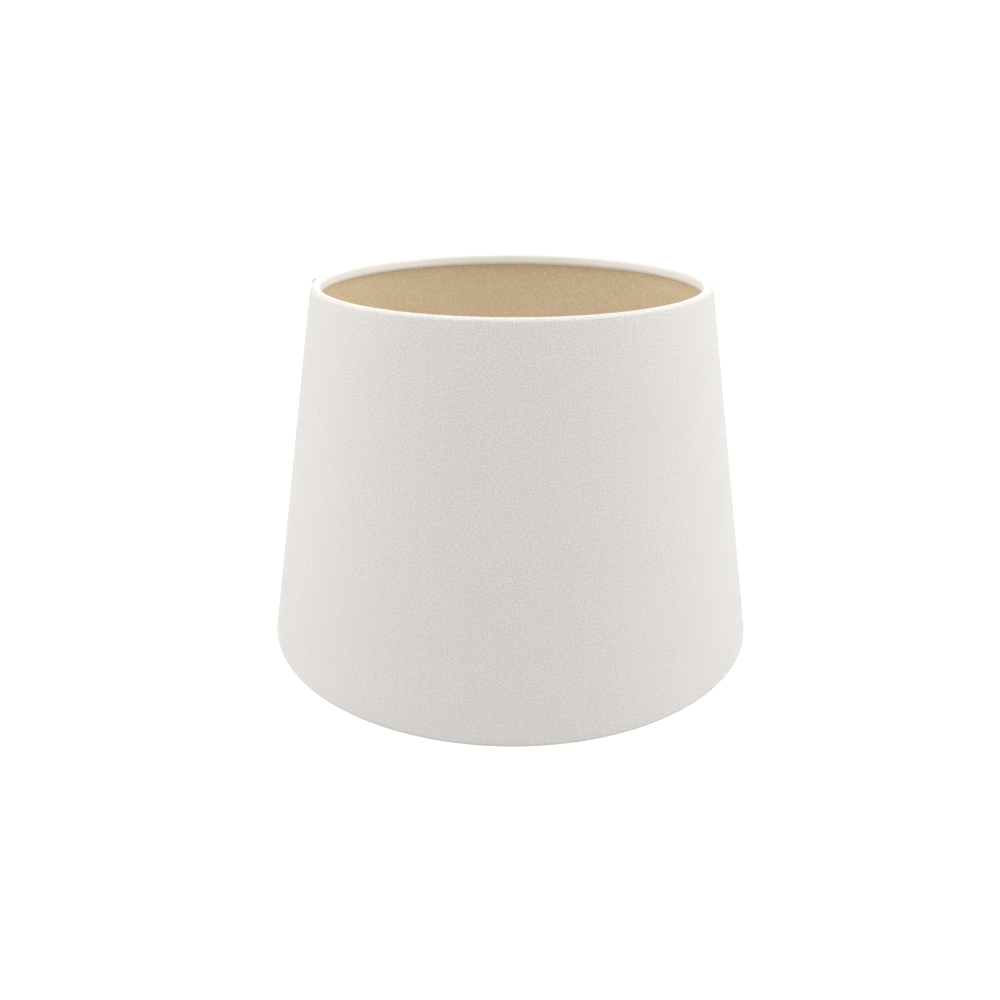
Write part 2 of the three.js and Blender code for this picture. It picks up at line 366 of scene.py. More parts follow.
class Tree:
    """Short words for building a node tree."""

    def __init__(self, tree):
        self.tree = tree

    def add(self, kind, inputs=None, **settings):
        node = self.tree.nodes.new(kind)
        for key, value in settings.items():
            setattr(node, key, value)
        for key, value in (inputs or {}).items():
            self.put(node.inputs[key], value)
        return node

    def put(self, socket, value):
        if isinstance(value, bpy.types.NodeSocket):
            self.tree.links.new(value, socket)
        elif isinstance(value, bpy.types.Node):
            self.tree.links.new(value.outputs[0], socket)
        else:
            socket.default_value = value

    def math(self, operation, a, b=0.0, c=0.0):
        node = self.add("ShaderNodeMath", {0: a, 1: b}, operation=operation)
        if operation in ("MULTIPLY_ADD", "WRAP", "COMPARE"):
            self.put(node.inputs[2], c)
        return node.outputs[0]

    def mix(self, factor, a, b):
        node = self.add("ShaderNodeMix", data_type="RGBA")
        self.put(node.inputs["Factor"], factor)
        self.put(node.inputs[6], a)
        self.put(node.inputs[7], b)
        return node.outputs[2]

    def blend(self, factor, a, b):
        node = self.add("ShaderNodeMix", data_type="FLOAT")
        self.put(node.inputs["Factor"], factor)
        self.put(node.inputs[2], a)
        self.put(node.inputs[3], b)
        return node.outputs[0]

    def between(self, share, low, high):
        """A value that goes from low to high as the share goes from 0 to 1."""
        return self.math("MULTIPLY_ADD", share, high - low, low)

    def scale(self, vector, factor):
        """A vector or colour times a number."""
        node = self.add("ShaderNodeVectorMath", {0: vector}, operation="SCALE")
        self.put(node.inputs["Scale"], factor)
        return node.outputs[0]

    def circle(self, sides, radius):
        """A closed curve of that many sides."""
        given = {"Resolution": sides, "Radius": radius}
        return self.add("GeometryNodeCurvePrimitiveCircle", given)

    def grain(self, vector, grain, cloud):
        """The outputs of a fine grain of these sizes."""
        node = self.add("ShaderNodeGroup", node_tree=shared(grain_group, "Fine grain"))
        self.put(node.inputs["Vector"], vector)
        node.inputs["Grain"].default_value = grain
        node.inputs["Cloud"].default_value = cloud
        return node.outputs


def shader_group(name, inputs, outputs):
    """A new shader node group with named float, vector or colour sockets."""
    tree = bpy.data.node_groups.new(name, "ShaderNodeTree")
    for words, kind, default in inputs:
        socket = tree.interface.new_socket(words, in_out="INPUT", socket_type="NodeSocket" + kind)
        if default is not None:
            socket.default_value = default
    for words, kind in outputs:
        tree.interface.new_socket(words, in_out="OUTPUT", socket_type="NodeSocket" + kind)
    t = Tree(tree)
    return t, t.add("NodeGroupInput").outputs, t.add("NodeGroupOutput").inputs


def weave_group():
    """A plain weave: every thread passes over one thread and under the next."""
    t, given, result = shader_group(
        "Plain weave",
        [("Vector", "Vector", None), ("Thread", "Float", 0.0005), ("Unevenness", "Float", 0.3)],
        [("Height", "Float"), ("Crown", "Float"), ("Yarn", "Float")],
    )
    counted = t.add("ShaderNodeVectorMath", {0: given["Vector"]}, operation="DIVIDE")
    pitch = t.add("ShaderNodeCombineXYZ", {0: given["Thread"], 1: given["Thread"], 2: 1.0})
    t.put(counted.inputs[1], pitch)
    wander = t.add("ShaderNodeTexNoise", {"Vector": counted, "Scale": 0.21, "Detail": 3.0})
    offset = t.add("ShaderNodeVectorMath", {0: wander.outputs["Color"]}, operation="SUBTRACT")
    offset.inputs[1].default_value = (0.5, 0.5, 0.5)
    drift = t.scale(offset, t.math("MULTIPLY", given["Unevenness"], 6.0))
    moved = t.add("ShaderNodeVectorMath", {0: counted, 1: drift}, operation="ADD")
    place = t.add("ShaderNodeSeparateXYZ", {0: moved})
    across, along = place.outputs[0], place.outputs[1]

    def crown(value):
        part = t.math("FRACT", value)
        centred = t.between(part, -1.0, 1.0)
        return t.math("SUBTRACT", 1.0, t.math("MULTIPLY", centred, centred))

    warp, weft = crown(across), crown(along)
    cells = t.math("ADD", t.math("FLOOR", across), t.math("FLOOR", along))
    over = t.math("FLOORED_MODULO", cells, 2.0)
    warp_height = t.math("MULTIPLY", warp, t.between(weft, 0.4, 1.0))
    weft_height = t.math("MULTIPLY", weft, t.between(warp, 0.4, 1.0))
    height = t.blend(over, warp_height, weft_height)
    warp_yarn = t.add("ShaderNodeTexWhiteNoise", noise_dimensions="1D")
    weft_yarn = t.add("ShaderNodeTexWhiteNoise", noise_dimensions="1D")
    t.put(warp_yarn.inputs["W"], t.math("FLOOR", across))
    t.put(weft_yarn.inputs["W"], t.math("FLOOR", along))
    yarn = t.blend(over, warp_yarn.outputs["Value"], weft_yarn.outputs["Value"])
    t.put(result["Height"], t.math("MULTIPLY", height, t.between(yarn, 0.6, 1.0)))
    t.put(result["Crown"], height)
    t.put(result["Yarn"], yarn)
    return t.tree


def grain_group():
    """A fine grain with sparse bright flecks, and slow cloudiness."""
    t, given, result = shader_group(
        "Fine grain",
        [("Vector", "Vector", None), ("Grain", "Float", 0.0004), ("Cloud", "Float", 0.02)],
        [("Grain", "Float"), ("Fleck", "Float"), ("Cloud", "Float")],
    )
    fine = t.add("ShaderNodeTexNoise", {"Vector": given["Vector"], "Detail": 2.0})
    t.put(fine.inputs["Scale"], t.math("DIVIDE", 1.0, given["Grain"]))
    cells = t.add("ShaderNodeTexVoronoi", {"Vector": given["Vector"]})
    t.put(cells.inputs["Scale"], t.math("DIVIDE", 0.8, given["Grain"]))
    picked = t.add("ShaderNodeSeparateColor", {0: cells.outputs["Color"]})
    slow = t.add("ShaderNodeTexNoise", {"Vector": given["Vector"], "Detail": 3.0})
    t.put(slow.inputs["Scale"], t.math("DIVIDE", 1.0, given["Cloud"]))
    t.put(result["Grain"], fine.outputs["Fac"])
    t.put(result["Fleck"], t.math("POWER", picked.outputs[0], 3.0))
    t.put(result["Cloud"], slow.outputs["Fac"])
    return t.tree


def wear_group():
    """A mask of rubbed patches, and dust that settles on what faces up."""
    t, given, result = shader_group(
        "Wear and dust",
        [("Vector", "Vector", None), ("Patch", "Float", 0.006), ("Amount", "Float", 0.3)],
        [("Wear", "Float"), ("Dust", "Float")],
    )
    patches = t.add("ShaderNodeTexNoise", {"Vector": given["Vector"], "Detail": 5.0})
    t.put(patches.inputs["Scale"], t.math("DIVIDE", 1.0, given["Patch"]))
    edge = t.math("SUBTRACT", 0.78, t.math("MULTIPLY", given["Amount"], 0.25))
    rubbed = t.add("ShaderNodeMapRange", {"Value": patches.outputs["Fac"], "From Min": edge})
    t.put(rubbed.inputs["From Max"], t.math("ADD", edge, 0.05))
    facing = t.add("ShaderNodeSeparateXYZ", {0: t.add("ShaderNodeNewGeometry").outputs["Normal"]})
    upward = t.math("MAXIMUM", facing.outputs[2], 0.0)
    t.put(result["Wear"], rubbed.outputs["Result"])
    t.put(result["Dust"], t.math("MULTIPLY", upward, patches.outputs["Fac"]))
    return t.tree


def shared(maker, words):
    """The node group of that name, made the first time that it is asked for."""
    return bpy.data.node_groups.get(words) or maker()


def new_material(name):
    material = bpy.data.materials.new(name)
    material.use_nodes = True
    material.node_tree.nodes.clear()
    t = Tree(material.node_tree)
    shader = t.add("ShaderNodeBsdfPrincipled")
    t.add("ShaderNodeOutputMaterial", {"Surface": shader})
    return material, t, shader


def bump(t, shader, height, distance):
    node = t.add("ShaderNodeBump", {"Height": height, "Distance": distance, "Strength": 1.0})
    t.put(shader.inputs["Normal"], node.outputs["Normal"])


def cloth_material(cloth):
    material, t, shader = new_material("Off-white cloth")
    flat = t.add("ShaderNodeUVMap", uv_map="Flat").outputs["UV"]
    weave = t.add("ShaderNodeGroup", node_tree=shared(weave_group, "Plain weave"))
    t.put(weave.inputs["Vector"], flat)
    weave.inputs["Thread"].default_value = cloth.thread
    weave.inputs["Unevenness"].default_value = 0.3
    grain = t.grain(flat, 0.8 * MM, 60 * MM)
    # Painted shade in the weave: the colour darkens from the thread crowns into the hollows.
    crowned = t.mix(weave.outputs["Crown"], (*cloth.hollow, 1), (*cloth.base, 1))
    darker = t.between(weave.outputs["Yarn"], 0.915, 0.965)
    mottled = t.between(grain["Grain"], 0.7, 1.3)
    clouded = t.between(grain["Cloud"], 0.98, 1.02)
    level = t.math("MULTIPLY", t.math("MULTIPLY", darker, mottled), clouded)
    # The cloth over the rings is blended towards a lighter colour: partly the doubled cloth,
    # partly a painted highlight on the rolled edges.
    margin = t.add("ShaderNodeAttribute", attribute_name="Margin").outputs["Fac"]
    highlight_share = t.math("MULTIPLY", margin, 0.95)
    bright = t.mix(highlight_share, t.scale(crowned, level), (*cloth.doubled_and_highlight, 1))
    t.put(shader.inputs["Base Color"], bright)
    shader.inputs["Roughness"].default_value = 0.92
    shader.inputs["Specular IOR Level"].default_value = 0.25
    shader.inputs["Sheen Weight"].default_value = 0.12
    shader.inputs["Sheen Roughness"].default_value = 0.5
    bump(t, shader, weave.outputs["Height"], cloth.relief)
    return material


def lining_material(lining):
    material, t, shader = new_material("Champagne metallic lining")
    flat = t.add("ShaderNodeUVMap", uv_map="Flat").outputs["UV"]
    grain = t.grain(flat, 0.45 * MM, 45 * MM)
    flecked = t.mix(grain["Fleck"], (*lining.base, 1), (*lining.fleck, 1))
    clouded = t.between(grain["Cloud"], 0.97, 1.03)
    t.put(shader.inputs["Base Color"], t.scale(flecked, clouded))
    t.put(shader.inputs["Roughness"], t.between(grain["Grain"], 0.42, 0.67))
    shader.inputs["Metallic"].default_value = lining.shine
    bump(t, shader, grain["Grain"], 0.02 * MM)
    return material


def coated_material(metal):
    material, t, shader = new_material("White powder coat")
    place = t.add("ShaderNodeTexCoord").outputs["Object"]
    grain = t.grain(place, 0.5 * MM, 9 * MM)
    wear = t.add("ShaderNodeGroup", node_tree=shared(wear_group, "Wear and dust"))
    t.put(wear.inputs["Vector"], place)
    wear.inputs["Patch"].default_value = 2.5 * MM
    wear.inputs["Amount"].default_value = 0.4
    dulled = t.math("MULTIPLY", wear.outputs["Wear"], 0.6)
    rubbed = t.mix(dulled, (*metal.base, 1), (*metal.worn, 1))
    level = t.between(grain["Cloud"], 0.96, 1.04)
    dusty = t.math("SUBTRACT", level, t.math("MULTIPLY", wear.outputs["Dust"], 0.06))
    t.put(shader.inputs["Base Color"], t.scale(rubbed, dusty))
    t.put(shader.inputs["Roughness"], t.between(grain["Grain"], 0.28, 0.58))
    bump(t, shader, grain["Grain"], 0.03 * MM)
    return material


def plastic_material(reducer):
    material, t, shader = new_material("White moulded plastic")
    place = t.add("ShaderNodeTexCoord").outputs["Object"]
    grain = t.grain(place, 0.35 * MM, 14 * MM)
    level = t.between(grain["Cloud"], 0.97, 1.02)
    t.put(shader.inputs["Base Color"], t.scale((*reducer.base,), level))
    t.put(shader.inputs["Roughness"], t.between(grain["Cloud"], 0.25, 0.45))
    shader.inputs["Subsurface Weight"].default_value = 0.08
    shader.inputs["Subsurface Radius"].default_value = (1.2 * MM, 1.0 * MM, 0.8 * MM)
    bump(t, shader, grain["Grain"], 0.012 * MM)
    return material


def tape_material():
    material, t, shader = new_material("Clear tape")
    place = t.add("ShaderNodeTexCoord").outputs["Object"]
    grain = t.grain(place, 1.5 * MM, 8 * MM)
    clear, milky = (0.83, 0.80, 0.72, 1), (0.9, 0.89, 0.85, 1)
    t.put(shader.inputs["Base Color"], t.mix(grain["Cloud"], clear, milky))
    t.put(shader.inputs["Roughness"], t.between(grain["Cloud"], 0.2, 0.5))
    bump(t, shader, grain["Grain"], 0.01 * MM)
    return material


# The wall's sheets ---------------------------------------------------------------------------


def apex_distance():
    """How far down the slant the lower wire's level is from the cone's point."""
    return float(LOWER_WIRE[0] / -UP[0])


def lay_flat(turns, down):
    """The places of points on the cone rolled out flat: turns round it, and distances along the
    cloth above the lower wire (rows, columns)."""
    reach = apex_distance() - down
    fan = (turns - FRONT)[:, None] * -UP[0]
    return np.stack([reach * np.sin(fan), -reach * np.cos(fan)], axis=-1)


def lap_rise(turns, rise):
    """How far the wall stands out at each turn: nothing, then a ramp up on to the lap."""
    ramp_start = SEAM_START + 2 * math.pi - SEAM_RAMP
    return rise * smooth_step((turns - ramp_start) / SEAM_RAMP)


def wall_turns(step, edges):
    """Turns from the seam's start to its end, close to equal steps, with a row at each edge."""
    even = np.arange(SEAM_START, SEAM_END, step)
    keep = [turn for turn in even if min(abs(turn - edge) for edge in edges) > step / 4]
    return np.array(sorted([*keep, *edges]))


def around(turn):
    """The same direction, counted on from the seam's start."""
    return SEAM_START + (turn - SEAM_START) % (2 * math.pi)


TUCK_ANGLE = math.radians(285)
EDGE_ANGLE = math.pi / 2
INSIDE_ANGLE = math.pi
SLIT_ANGLE = math.radians(132)
WALL_POINTS = 44
OVER_POINTS = 17
SLACK_POINTS = 4
UNDER_POINTS = 10

# The hollow beside each ring, and how far past the lap the turned edges begin again.
HOLLOW_PLACE = 6 * MM
HOLLOW_WIDTH = 3 * MM
JOINT_PLACE = 1.03

# The waves of the gathers behind each ring, as whole numbers of waves round the shade.
LOWER_WAVES = (61, 83, 97, 118, 139)
UPPER_WAVES = (53, 67, 79, 94, 113)

# Where the cloth begins to thicken and the lining stops, in fold widths before the cloth's end.
FOLD_RAMP = 1.3
LINING_STOP = 1.4

# How much the folded end is thinned, and where the bright margin, a painted highlight on the
# turned edges, begins past the wires' level.
FOLD_ROUNDING = 0.12 * MM
MARGIN_START = 1.6 * MM


def roll_line(side):
    """The way of the cloth round a ring's wire from the wall to its raw edge, turning up over the
    top ring (side 1) or down under the bottom one (side -1): angles round the wire, and the share
    of the slack that has been passed."""
    over = np.linspace(WALL_ANGLE, side * INSIDE_ANGLE, OVER_POINTS)
    straight = np.full(SLACK_POINTS, side * INSIDE_ANGLE)
    under = np.linspace(side * INSIDE_ANGLE, side * TUCK_ANGLE, UNDER_POINTS)
    passing = np.linspace(0, 1, SLACK_POINTS + 2)[1:-1]
    slack = np.concatenate([np.zeros(OVER_POINTS), passing, np.ones(UNDER_POINTS)])
    return np.concatenate([over, straight, under]), slack


ROLL_POINTS = len(roll_line(1)[0])


def turned_edge(wire, side, depth, rise, cloth, gather):
    """The lines of the cloth round a wire, one a row: how deep in the cloth they run, and how far
    the wall has risen and the tucked margin is gathered there."""
    angles, slack = roll_line(side)
    turned = np.clip((angles - WALL_ANGLE) / (side * EDGE_ANGLE - WALL_ANGLE), 0, 1)
    bulge = (cloth.wall_reach - ROLL_REACH + rise)[:, None] * np.cos(turned * math.pi / 2)
    tucked = smooth_step((np.abs(angles) - EDGE_ANGLE) / (TUCK_ANGLE - EDGE_ANGLE))
    reach = ROLL_REACH - depth[:, None] * np.ones_like(angles) - gather[:, None] * tucked
    line = on_wire(wire, angles, reach) + bulge[..., None] * OUT
    line[..., 1] -= side * cloth.slack * slack
    return line


def wall_lines(depth, rise, cloth):
    """The lines of the cloth up the wall, one a row. Beside each ring the wall is a little
    hollow."""
    along = np.linspace(0, SLANT, WALL_POINTS + 2)[1:-1]
    near = np.minimum(along, SLANT - along)
    hollow = cloth.groove * np.exp(-(((near - HOLLOW_PLACE) / HOLLOW_WIDTH) ** 2))
    out = (cloth.wall_reach + rise - depth)[:, None] - hollow
    return LOWER_WIRE + along[:, None] * UP + out[..., None] * OUT


def cloth_grid(depth, rise, cloth, gathers):
    lower = turned_edge(LOWER_WIRE, -1, depth, rise, cloth, gathers[0])[:, ::-1]
    upper = turned_edge(UPPER_WIRE, 1, depth, rise, cloth, gathers[1])
    return np.concatenate([lower, wall_lines(depth, rise, cloth), upper], axis=1)


def cloth_lengths(cloth):
    """How far along the cloth each point of its line is above the lower wire."""
    angles, slack = roll_line(1)
    turn = ROLL_REACH * (angles - WALL_ANGLE) + cloth.slack * slack
    wall = np.linspace(0, SLANT, WALL_POINTS + 2)[1:-1]
    return np.concatenate([-turn[::-1], wall, SLANT + turn])


def arm_slits(wire):
    """The turns between which the lower turned edge is cut away, one pair for each arm."""
    half = (wire + SLIT_CLEARANCE) / LOWER_WIRE[0]
    return [(around(turn - half), around(turn + half)) for turn in ARM_TURNS]


def cloth_cells(turns, columns, joint, slits):
    """Which cells of the cloth's grid there are: the start has no turned edges, so that each edge
    is one layer thick, and the lower edge is slit for the arms."""
    present = np.ones((len(turns) - 1, columns - 1), bool)
    middle = (turns[:-1] + turns[1:]) / 2
    present[middle < joint, : ROLL_POINTS - 1] = False
    present[middle < joint, 1 - ROLL_POINTS :] = False
    slit_points = int(np.sum(np.abs(roll_line(-1)[0]) > SLIT_ANGLE))
    for start, end in slits:
        present[(middle > start) & (middle < end), :slit_points] = False
    return present


def make_cover(cloth, metal):
    fold = cloth.fold / LOWER_WIRE[0]
    slits = arm_slits(metal.wire)
    joint = SEAM_START + SEAM_LAP * JOINT_PLACE
    edges = [edge for slit in slits for edge in slit]
    edges += [SEAM_START, joint, SEAM_END - FOLD_RAMP * fold, SEAM_END - fold, SEAM_END]
    turns = wall_turns(COVER_STEP, edges)
    rise = lap_rise(turns, cloth.lap_rise)
    gathers = [
        cloth.pucker * ripple(turns, LOWER_WAVES, SEED),
        cloth.pucker * ripple(turns, UPPER_WAVES, SEED + 1),
    ]
    # The end is folded under, so it is as thick as the lap's rise and rounded at the very end.
    folded = turns >= SEAM_END - fold
    rounding = np.where(turns == SEAM_END, FOLD_ROUNDING, 0.0)
    inside = np.where(folded, cloth.lap_rise - SHEET_GAP, cloth.thickness) - rounding
    outer = cloth_grid(rounding, rise, cloth, gathers)
    inner = cloth_grid(inside, rise, cloth, gathers)
    lengths = cloth_lengths(cloth)
    flat = lay_flat(turns, np.broadcast_to(lengths, outer.shape[:2]))
    present = cloth_cells(turns, outer.shape[1], joint, slits)
    piece, kept = sheet_piece(
        "cloth_cover", revolve_points(outer, turns), revolve_points(inner, turns), flat, present
    )
    # How far each point lies past the wires' level, which places the painted highlight on the
    # turned edges.
    beyond = np.maximum(-lengths, lengths - SLANT)
    margin = np.broadcast_to(smooth_step(beyond / MARGIN_START - 1), outer.shape[:2])
    set_points(piece, "Margin", margin, kept)
    piece.data.materials.append(cloth_material(cloth))
    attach(piece, SHADE_BODY)
    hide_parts("fabric_cover")


def make_lining(lining, cloth):
    end = SEAM_END - LINING_STOP * cloth.fold / LOWER_WIRE[0]
    turns = wall_turns(LINING_STEP, [SEAM_START, end])
    turns = turns[turns <= end]
    rise = lap_rise(turns, cloth.lap_rise)[:, None]
    along = np.linspace(0, SLANT, LINING_POINTS)

    def face(out):
        return LOWER_WIRE + along[:, None] * UP + (rise + out)[..., None] * OUT

    outer = face(lining.inner_reach + lining.thickness)
    inner = face(lining.inner_reach)
    flat = lay_flat(turns, np.broadcast_to(along, outer.shape[:2]))
    present = np.ones((len(turns) - 1, len(along) - 1), bool)
    piece, _ = sheet_piece(
        "lining", revolve_points(outer, turns), revolve_points(inner, turns), flat, present
    )
    piece.data.materials.append(lining_material(lining))
    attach(piece, SHADE_BODY)
    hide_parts("lining_panel")


# Wires, welds and rings ----------------------------------------------------------------------


def geometry_tree(name, inputs):
    """A new geometry node tree with named inputs, and its input and output nodes."""
    tree = bpy.data.node_groups.new(name, "GeometryNodeTree")
    for words, kind, default in [("Geometry", "Geometry", None), *inputs]:
        socket = tree.interface.new_socket(words, in_out="INPUT", socket_type="NodeSocket" + kind)
        if default is not None:
            socket.default_value = default
    tree.interface.new_socket("Geometry", in_out="OUTPUT", socket_type="NodeSocketGeometry")
    t = Tree(tree)
    return t, t.add("NodeGroupInput").outputs, t.add("NodeGroupOutput").inputs


def grown(name, base_mesh, tree, values):
    """The plain mesh object that a geometry tree makes from a base mesh and its input values."""
    seedling = bpy.data.objects.new(name + "_base", base_mesh)
    bpy.context.scene.collection.objects.link(seedling)
    modifier = seedling.modifiers.new(name, "NODES")
    modifier.node_group = tree
    for item in tree.interface.items_tree:
        if item.in_out == "INPUT" and item.name in values:
            modifier[item.identifier] = values[item.name]
    graph = bpy.context.evaluated_depsgraph_get()
    mesh = bpy.data.meshes.new_from_object(seedling.evaluated_get(graph))
    seedling.modifiers.remove(modifier)
    bpy.data.objects.remove(seedling)
    mesh.name = name
    mesh.polygons.foreach_set("use_smooth", [True] * len(mesh.polygons))
    mesh.set_sharp_from_angle(angle=METAL_CREASE)
    piece = bpy.data.objects.new(name, mesh)
    bpy.context.scene.collection.objects.link(piece)
    return piece


def finish_tree(t, result, geometry, material):
    joined = t.add("GeometryNodeRealizeInstances", {"Geometry": geometry})
    painted = t.add("GeometryNodeSetMaterial", {"Geometry": joined, "Material": material})
    t.put(result["Geometry"], painted)


def ring_tree(material):
    """A ring of round wire about the axis."""
    t, given, result = geometry_tree(
        "Wire ring",
        [
            ("Ring radius", "Float", 0.1),
            ("Height", "Float", 0.0),
            ("Wire", "Float", 0.0015),
        ],
    )
    line = t.circle(RING_SIDES, given["Ring radius"])
    section = t.circle(WIRE_SIDES, given["Wire"])
    wire = t.add("GeometryNodeCurveToMesh", {"Curve": line, "Profile Curve": section})
    lift = t.add("ShaderNodeCombineXYZ", {2: given["Height"]})
    raised = t.add("GeometryNodeTransform", {"Geometry": wire, "Translation": lift})
    finish_tree(t, result, raised, material)
    return t.tree


def make_rings(metal):
    tree = ring_tree(coated_material(metal))
    for name, node, line in (
        ("top_wire", "top_ring", UPPER_WIRE),
        ("bottom_wire", "bottom_ring", LOWER_WIRE),
    ):
        values = {"Ring radius": float(line[0]), "Height": float(line[1]), "Wire": metal.wire}
        piece = grown(name, bpy.data.meshes.new(name), tree, values)
        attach(piece, SHADE_BODY)
        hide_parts(node)


def arm_tree(material):
    """Arms like spokes: the base line is bent to a fillet, made a round wire, given a weld bead at
    each end, and repeated round the axis."""
    t, given, result = geometry_tree(
        "Fitter arms",
        [
            ("Wire", "Float", 0.0015),
            ("Bend", "Float", 0.006),
            ("Bead", "Float", 0.0015),
            ("Count", "Int", 3),
            ("First turn", "Float", 0.0),
        ],
    )
    line = t.add("GeometryNodeMeshToCurve", {"Mesh": given["Geometry"]})
    bend = {"Curve": line, "Radius": given["Bend"], "Count": BEND_STEPS}
    bent = t.add("GeometryNodeFilletCurve", bend, mode="POLY")
    section = t.circle(WIRE_SIDES, given["Wire"])
    wire = t.add(
        "GeometryNodeCurveToMesh", {"Curve": bent, "Profile Curve": section, "Fill Caps": True}
    )
    ball = t.add("GeometryNodeMeshIcoSphere", {"Radius": given["Bead"], "Subdivisions": 4})
    lumps = t.add("ShaderNodeTexNoise", {"Scale": 700.0, "Detail": 2.0})
    push = t.math("MULTIPLY", t.math("SUBTRACT", lumps.outputs["Fac"], 0.5), BEAD_LUMPS)
    way = t.scale(t.add("GeometryNodeInputNormal"), push)
    bead = t.add("GeometryNodeSetPosition", {"Geometry": ball, "Offset": way})
    dots = t.add("GeometryNodeMeshToPoints", {"Mesh": given["Geometry"]})
    number = t.add("GeometryNodeInputIndex")
    outermost = t.math("LESS_THAN", number.outputs[0], 0.5)
    innermost = t.math("GREATER_THAN", number.outputs[0], 2.5)
    t.put(dots.inputs["Selection"], t.math("MAXIMUM", outermost, innermost))
    beads = t.add("GeometryNodeInstanceOnPoints", {"Points": dots, "Instance": bead})
    arm = t.add("GeometryNodeJoinGeometry")
    t.put(arm.inputs[0], wire)
    t.put(arm.inputs[0], beads.outputs[0])
    centre = t.add("GeometryNodePoints", {"Count": given["Count"]})
    step = t.math("DIVIDE", 2 * math.pi, given["Count"])
    which = t.add("GeometryNodeInputIndex").outputs[0]
    turn = t.math("MULTIPLY_ADD", which, step, given["First turn"])
    spin = t.add("ShaderNodeCombineXYZ", {2: turn})
    spokes = t.add(
        "GeometryNodeInstanceOnPoints", {"Points": centre, "Instance": arm, "Rotation": spin}
    )
    finish_tree(t, result, spokes.outputs[0], material)
    return t.tree


def make_arms(metal):
    low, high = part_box("fitter_arm_1")
    outer_end, inner_end = -low.y, -high.y
    foot = low.z + metal.wire
    level = high.z - metal.wire
    bend_out = outer_end - ARM_FOOT
    bend_in = bend_out - (level - foot) / math.tan(ARM_SLOPE)
    corners = [(outer_end, foot), (bend_out, foot), (bend_in, level), (inner_end, level)]
    line = bpy.data.meshes.new("arm_line")
    line.from_pydata([(x, 0, z) for x, z in corners], [(0, 1), (1, 2), (2, 3)], [])
    values = {
        "Wire": metal.wire,
        "Bend": ARM_BEND,
        "Bead": metal.bead,
        "Count": len(ARM_TURNS),
        "First turn": ARM_TURNS[0],
    }
    piece = grown("fitter_arms", line, arm_tree(coated_material(metal)), values)
    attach(piece, SHADE_BODY)
    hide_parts("fitter_arm_1", "fitter_arm_2", "fitter_arm_3")


def make_fitter(metal):
    low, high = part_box("fitter_ring")
    bore, rim = spread("fitter_ring")
    under = high.z - FITTER_PLATE
    skirt = rim - FITTER_PLATE
    corners = [
        (rim, low.z),
        (rim, high.z),
        (bore, high.z),
        (bore, under),
        (skirt, under),
        (skirt, low.z),
    ]
    outline = rounded(corners, FITTER_CORNER)
    turns = round_turns(FITTER_SIDES)
    sections = np.broadcast_to(outline, (len(turns), *outline.shape))
    piece = turned_piece("fitter_plate", sections, turns)
    piece.data.materials.append(coated_material(metal))
    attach(piece, SHADE_BODY)
    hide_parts("fitter_ring")


def rib_tree(material):
    """Small upright ribs round a spigot, joined to the base mesh."""
    t, given, result = geometry_tree(
        "Centring ribs",
        [
            ("Count", "Int", 8),
            ("Reach", "Float", 0.02),
            ("Height", "Float", 0.02),
            ("Size", "Vector", None),
        ],
    )
    block = t.add("GeometryNodeMeshCube", {"Size": given["Size"], "Vertices Y": 4})
    line = t.circle(given["Count"], given["Reach"])
    step = t.math("DIVIDE", 2 * math.pi, given["Count"])
    turn = t.math("MULTIPLY", t.add("GeometryNodeInputIndex").outputs[0], step)
    spin = t.add("ShaderNodeCombineXYZ", {2: turn})
    dots = t.add("GeometryNodeCurveToPoints", {"Curve": line}, mode="EVALUATED")
    ribs = t.add(
        "GeometryNodeInstanceOnPoints", {"Points": dots, "Instance": block, "Rotation": spin}
    )
    lift = t.add("ShaderNodeCombineXYZ", {2: given["Height"]})
    raised = t.add("GeometryNodeTransform", {"Geometry": ribs.outputs[0], "Translation": lift})
    joined = t.add("GeometryNodeJoinGeometry")
    t.put(joined.inputs[0], given["Geometry"])
    t.put(joined.inputs[0], raised)
    finish_tree(t, result, joined, material)
    return t.tree


def notched_rim(rim, turns):
    """How far out the rim reaches at each turn, with its round notches cut away."""
    half_step = math.pi / NOTCH_COUNT
    aside = np.abs(turns % (2 * half_step) - half_step)
    centre = rim + NOTCH_RADIUS - NOTCH_DEPTH
    inside = np.maximum(NOTCH_RADIUS**2 - (centre * np.sin(aside)) ** 2, 0)
    cut = centre * np.cos(aside) - np.sqrt(inside)
    return np.minimum(np.where(inside > 0, cut, rim), rim)


def make_reducer(reducer):
    low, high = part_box("reducer_ring")
    bore, rim = spread("reducer_ring")
    spigot = spread("fitter_ring")[0] - SPIGOT_CLEARANCE
    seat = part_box("fitter_ring")[1].z + SHEET_GAP
    corners = [
        (bore, low.z),
        (spigot, low.z),
        (spigot, seat),
        (rim, seat),
        (rim, high.z),
        (bore, high.z),
    ]
    outline = rounded(corners, REDUCER_CORNER)
    turns = round_turns(REDUCER_SIDES)
    sections = np.repeat(outline[None], len(turns), axis=0)
    sections[..., 0] = np.minimum(sections[..., 0], notched_rim(rim, turns)[:, None])
    base = turned_piece("reducer_blank", sections, turns)
    values = {
        "Count": RIB_COUNT,
        "Reach": spigot,
        "Height": (seat + low.z) / 2,
        "Size": (2 * reducer.rib, RIB_WIDTH, RIB_SHARE * (seat - low.z)),
    }
    piece = grown("reducer_moulding", base.data, rib_tree(plastic_material(reducer)), values)
    bpy.data.objects.remove(base)
    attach(piece, REDUCER_BODY)
    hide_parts("reducer_ring")


def finish_tapes():
    material = tape_material()
    for node in ("seam_tape", "top_edge_tape", "bottom_edge_tape"):
        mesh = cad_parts[node].data
        mesh.materials.clear()
        mesh.materials.append(material)


# The stage -----------------------------------------------------------------------------------


# Half the floor's width, and how far the floor is under the shade.
FLOOR_HALF = 20.0
FLOOR_DROP = 0.05 * MM

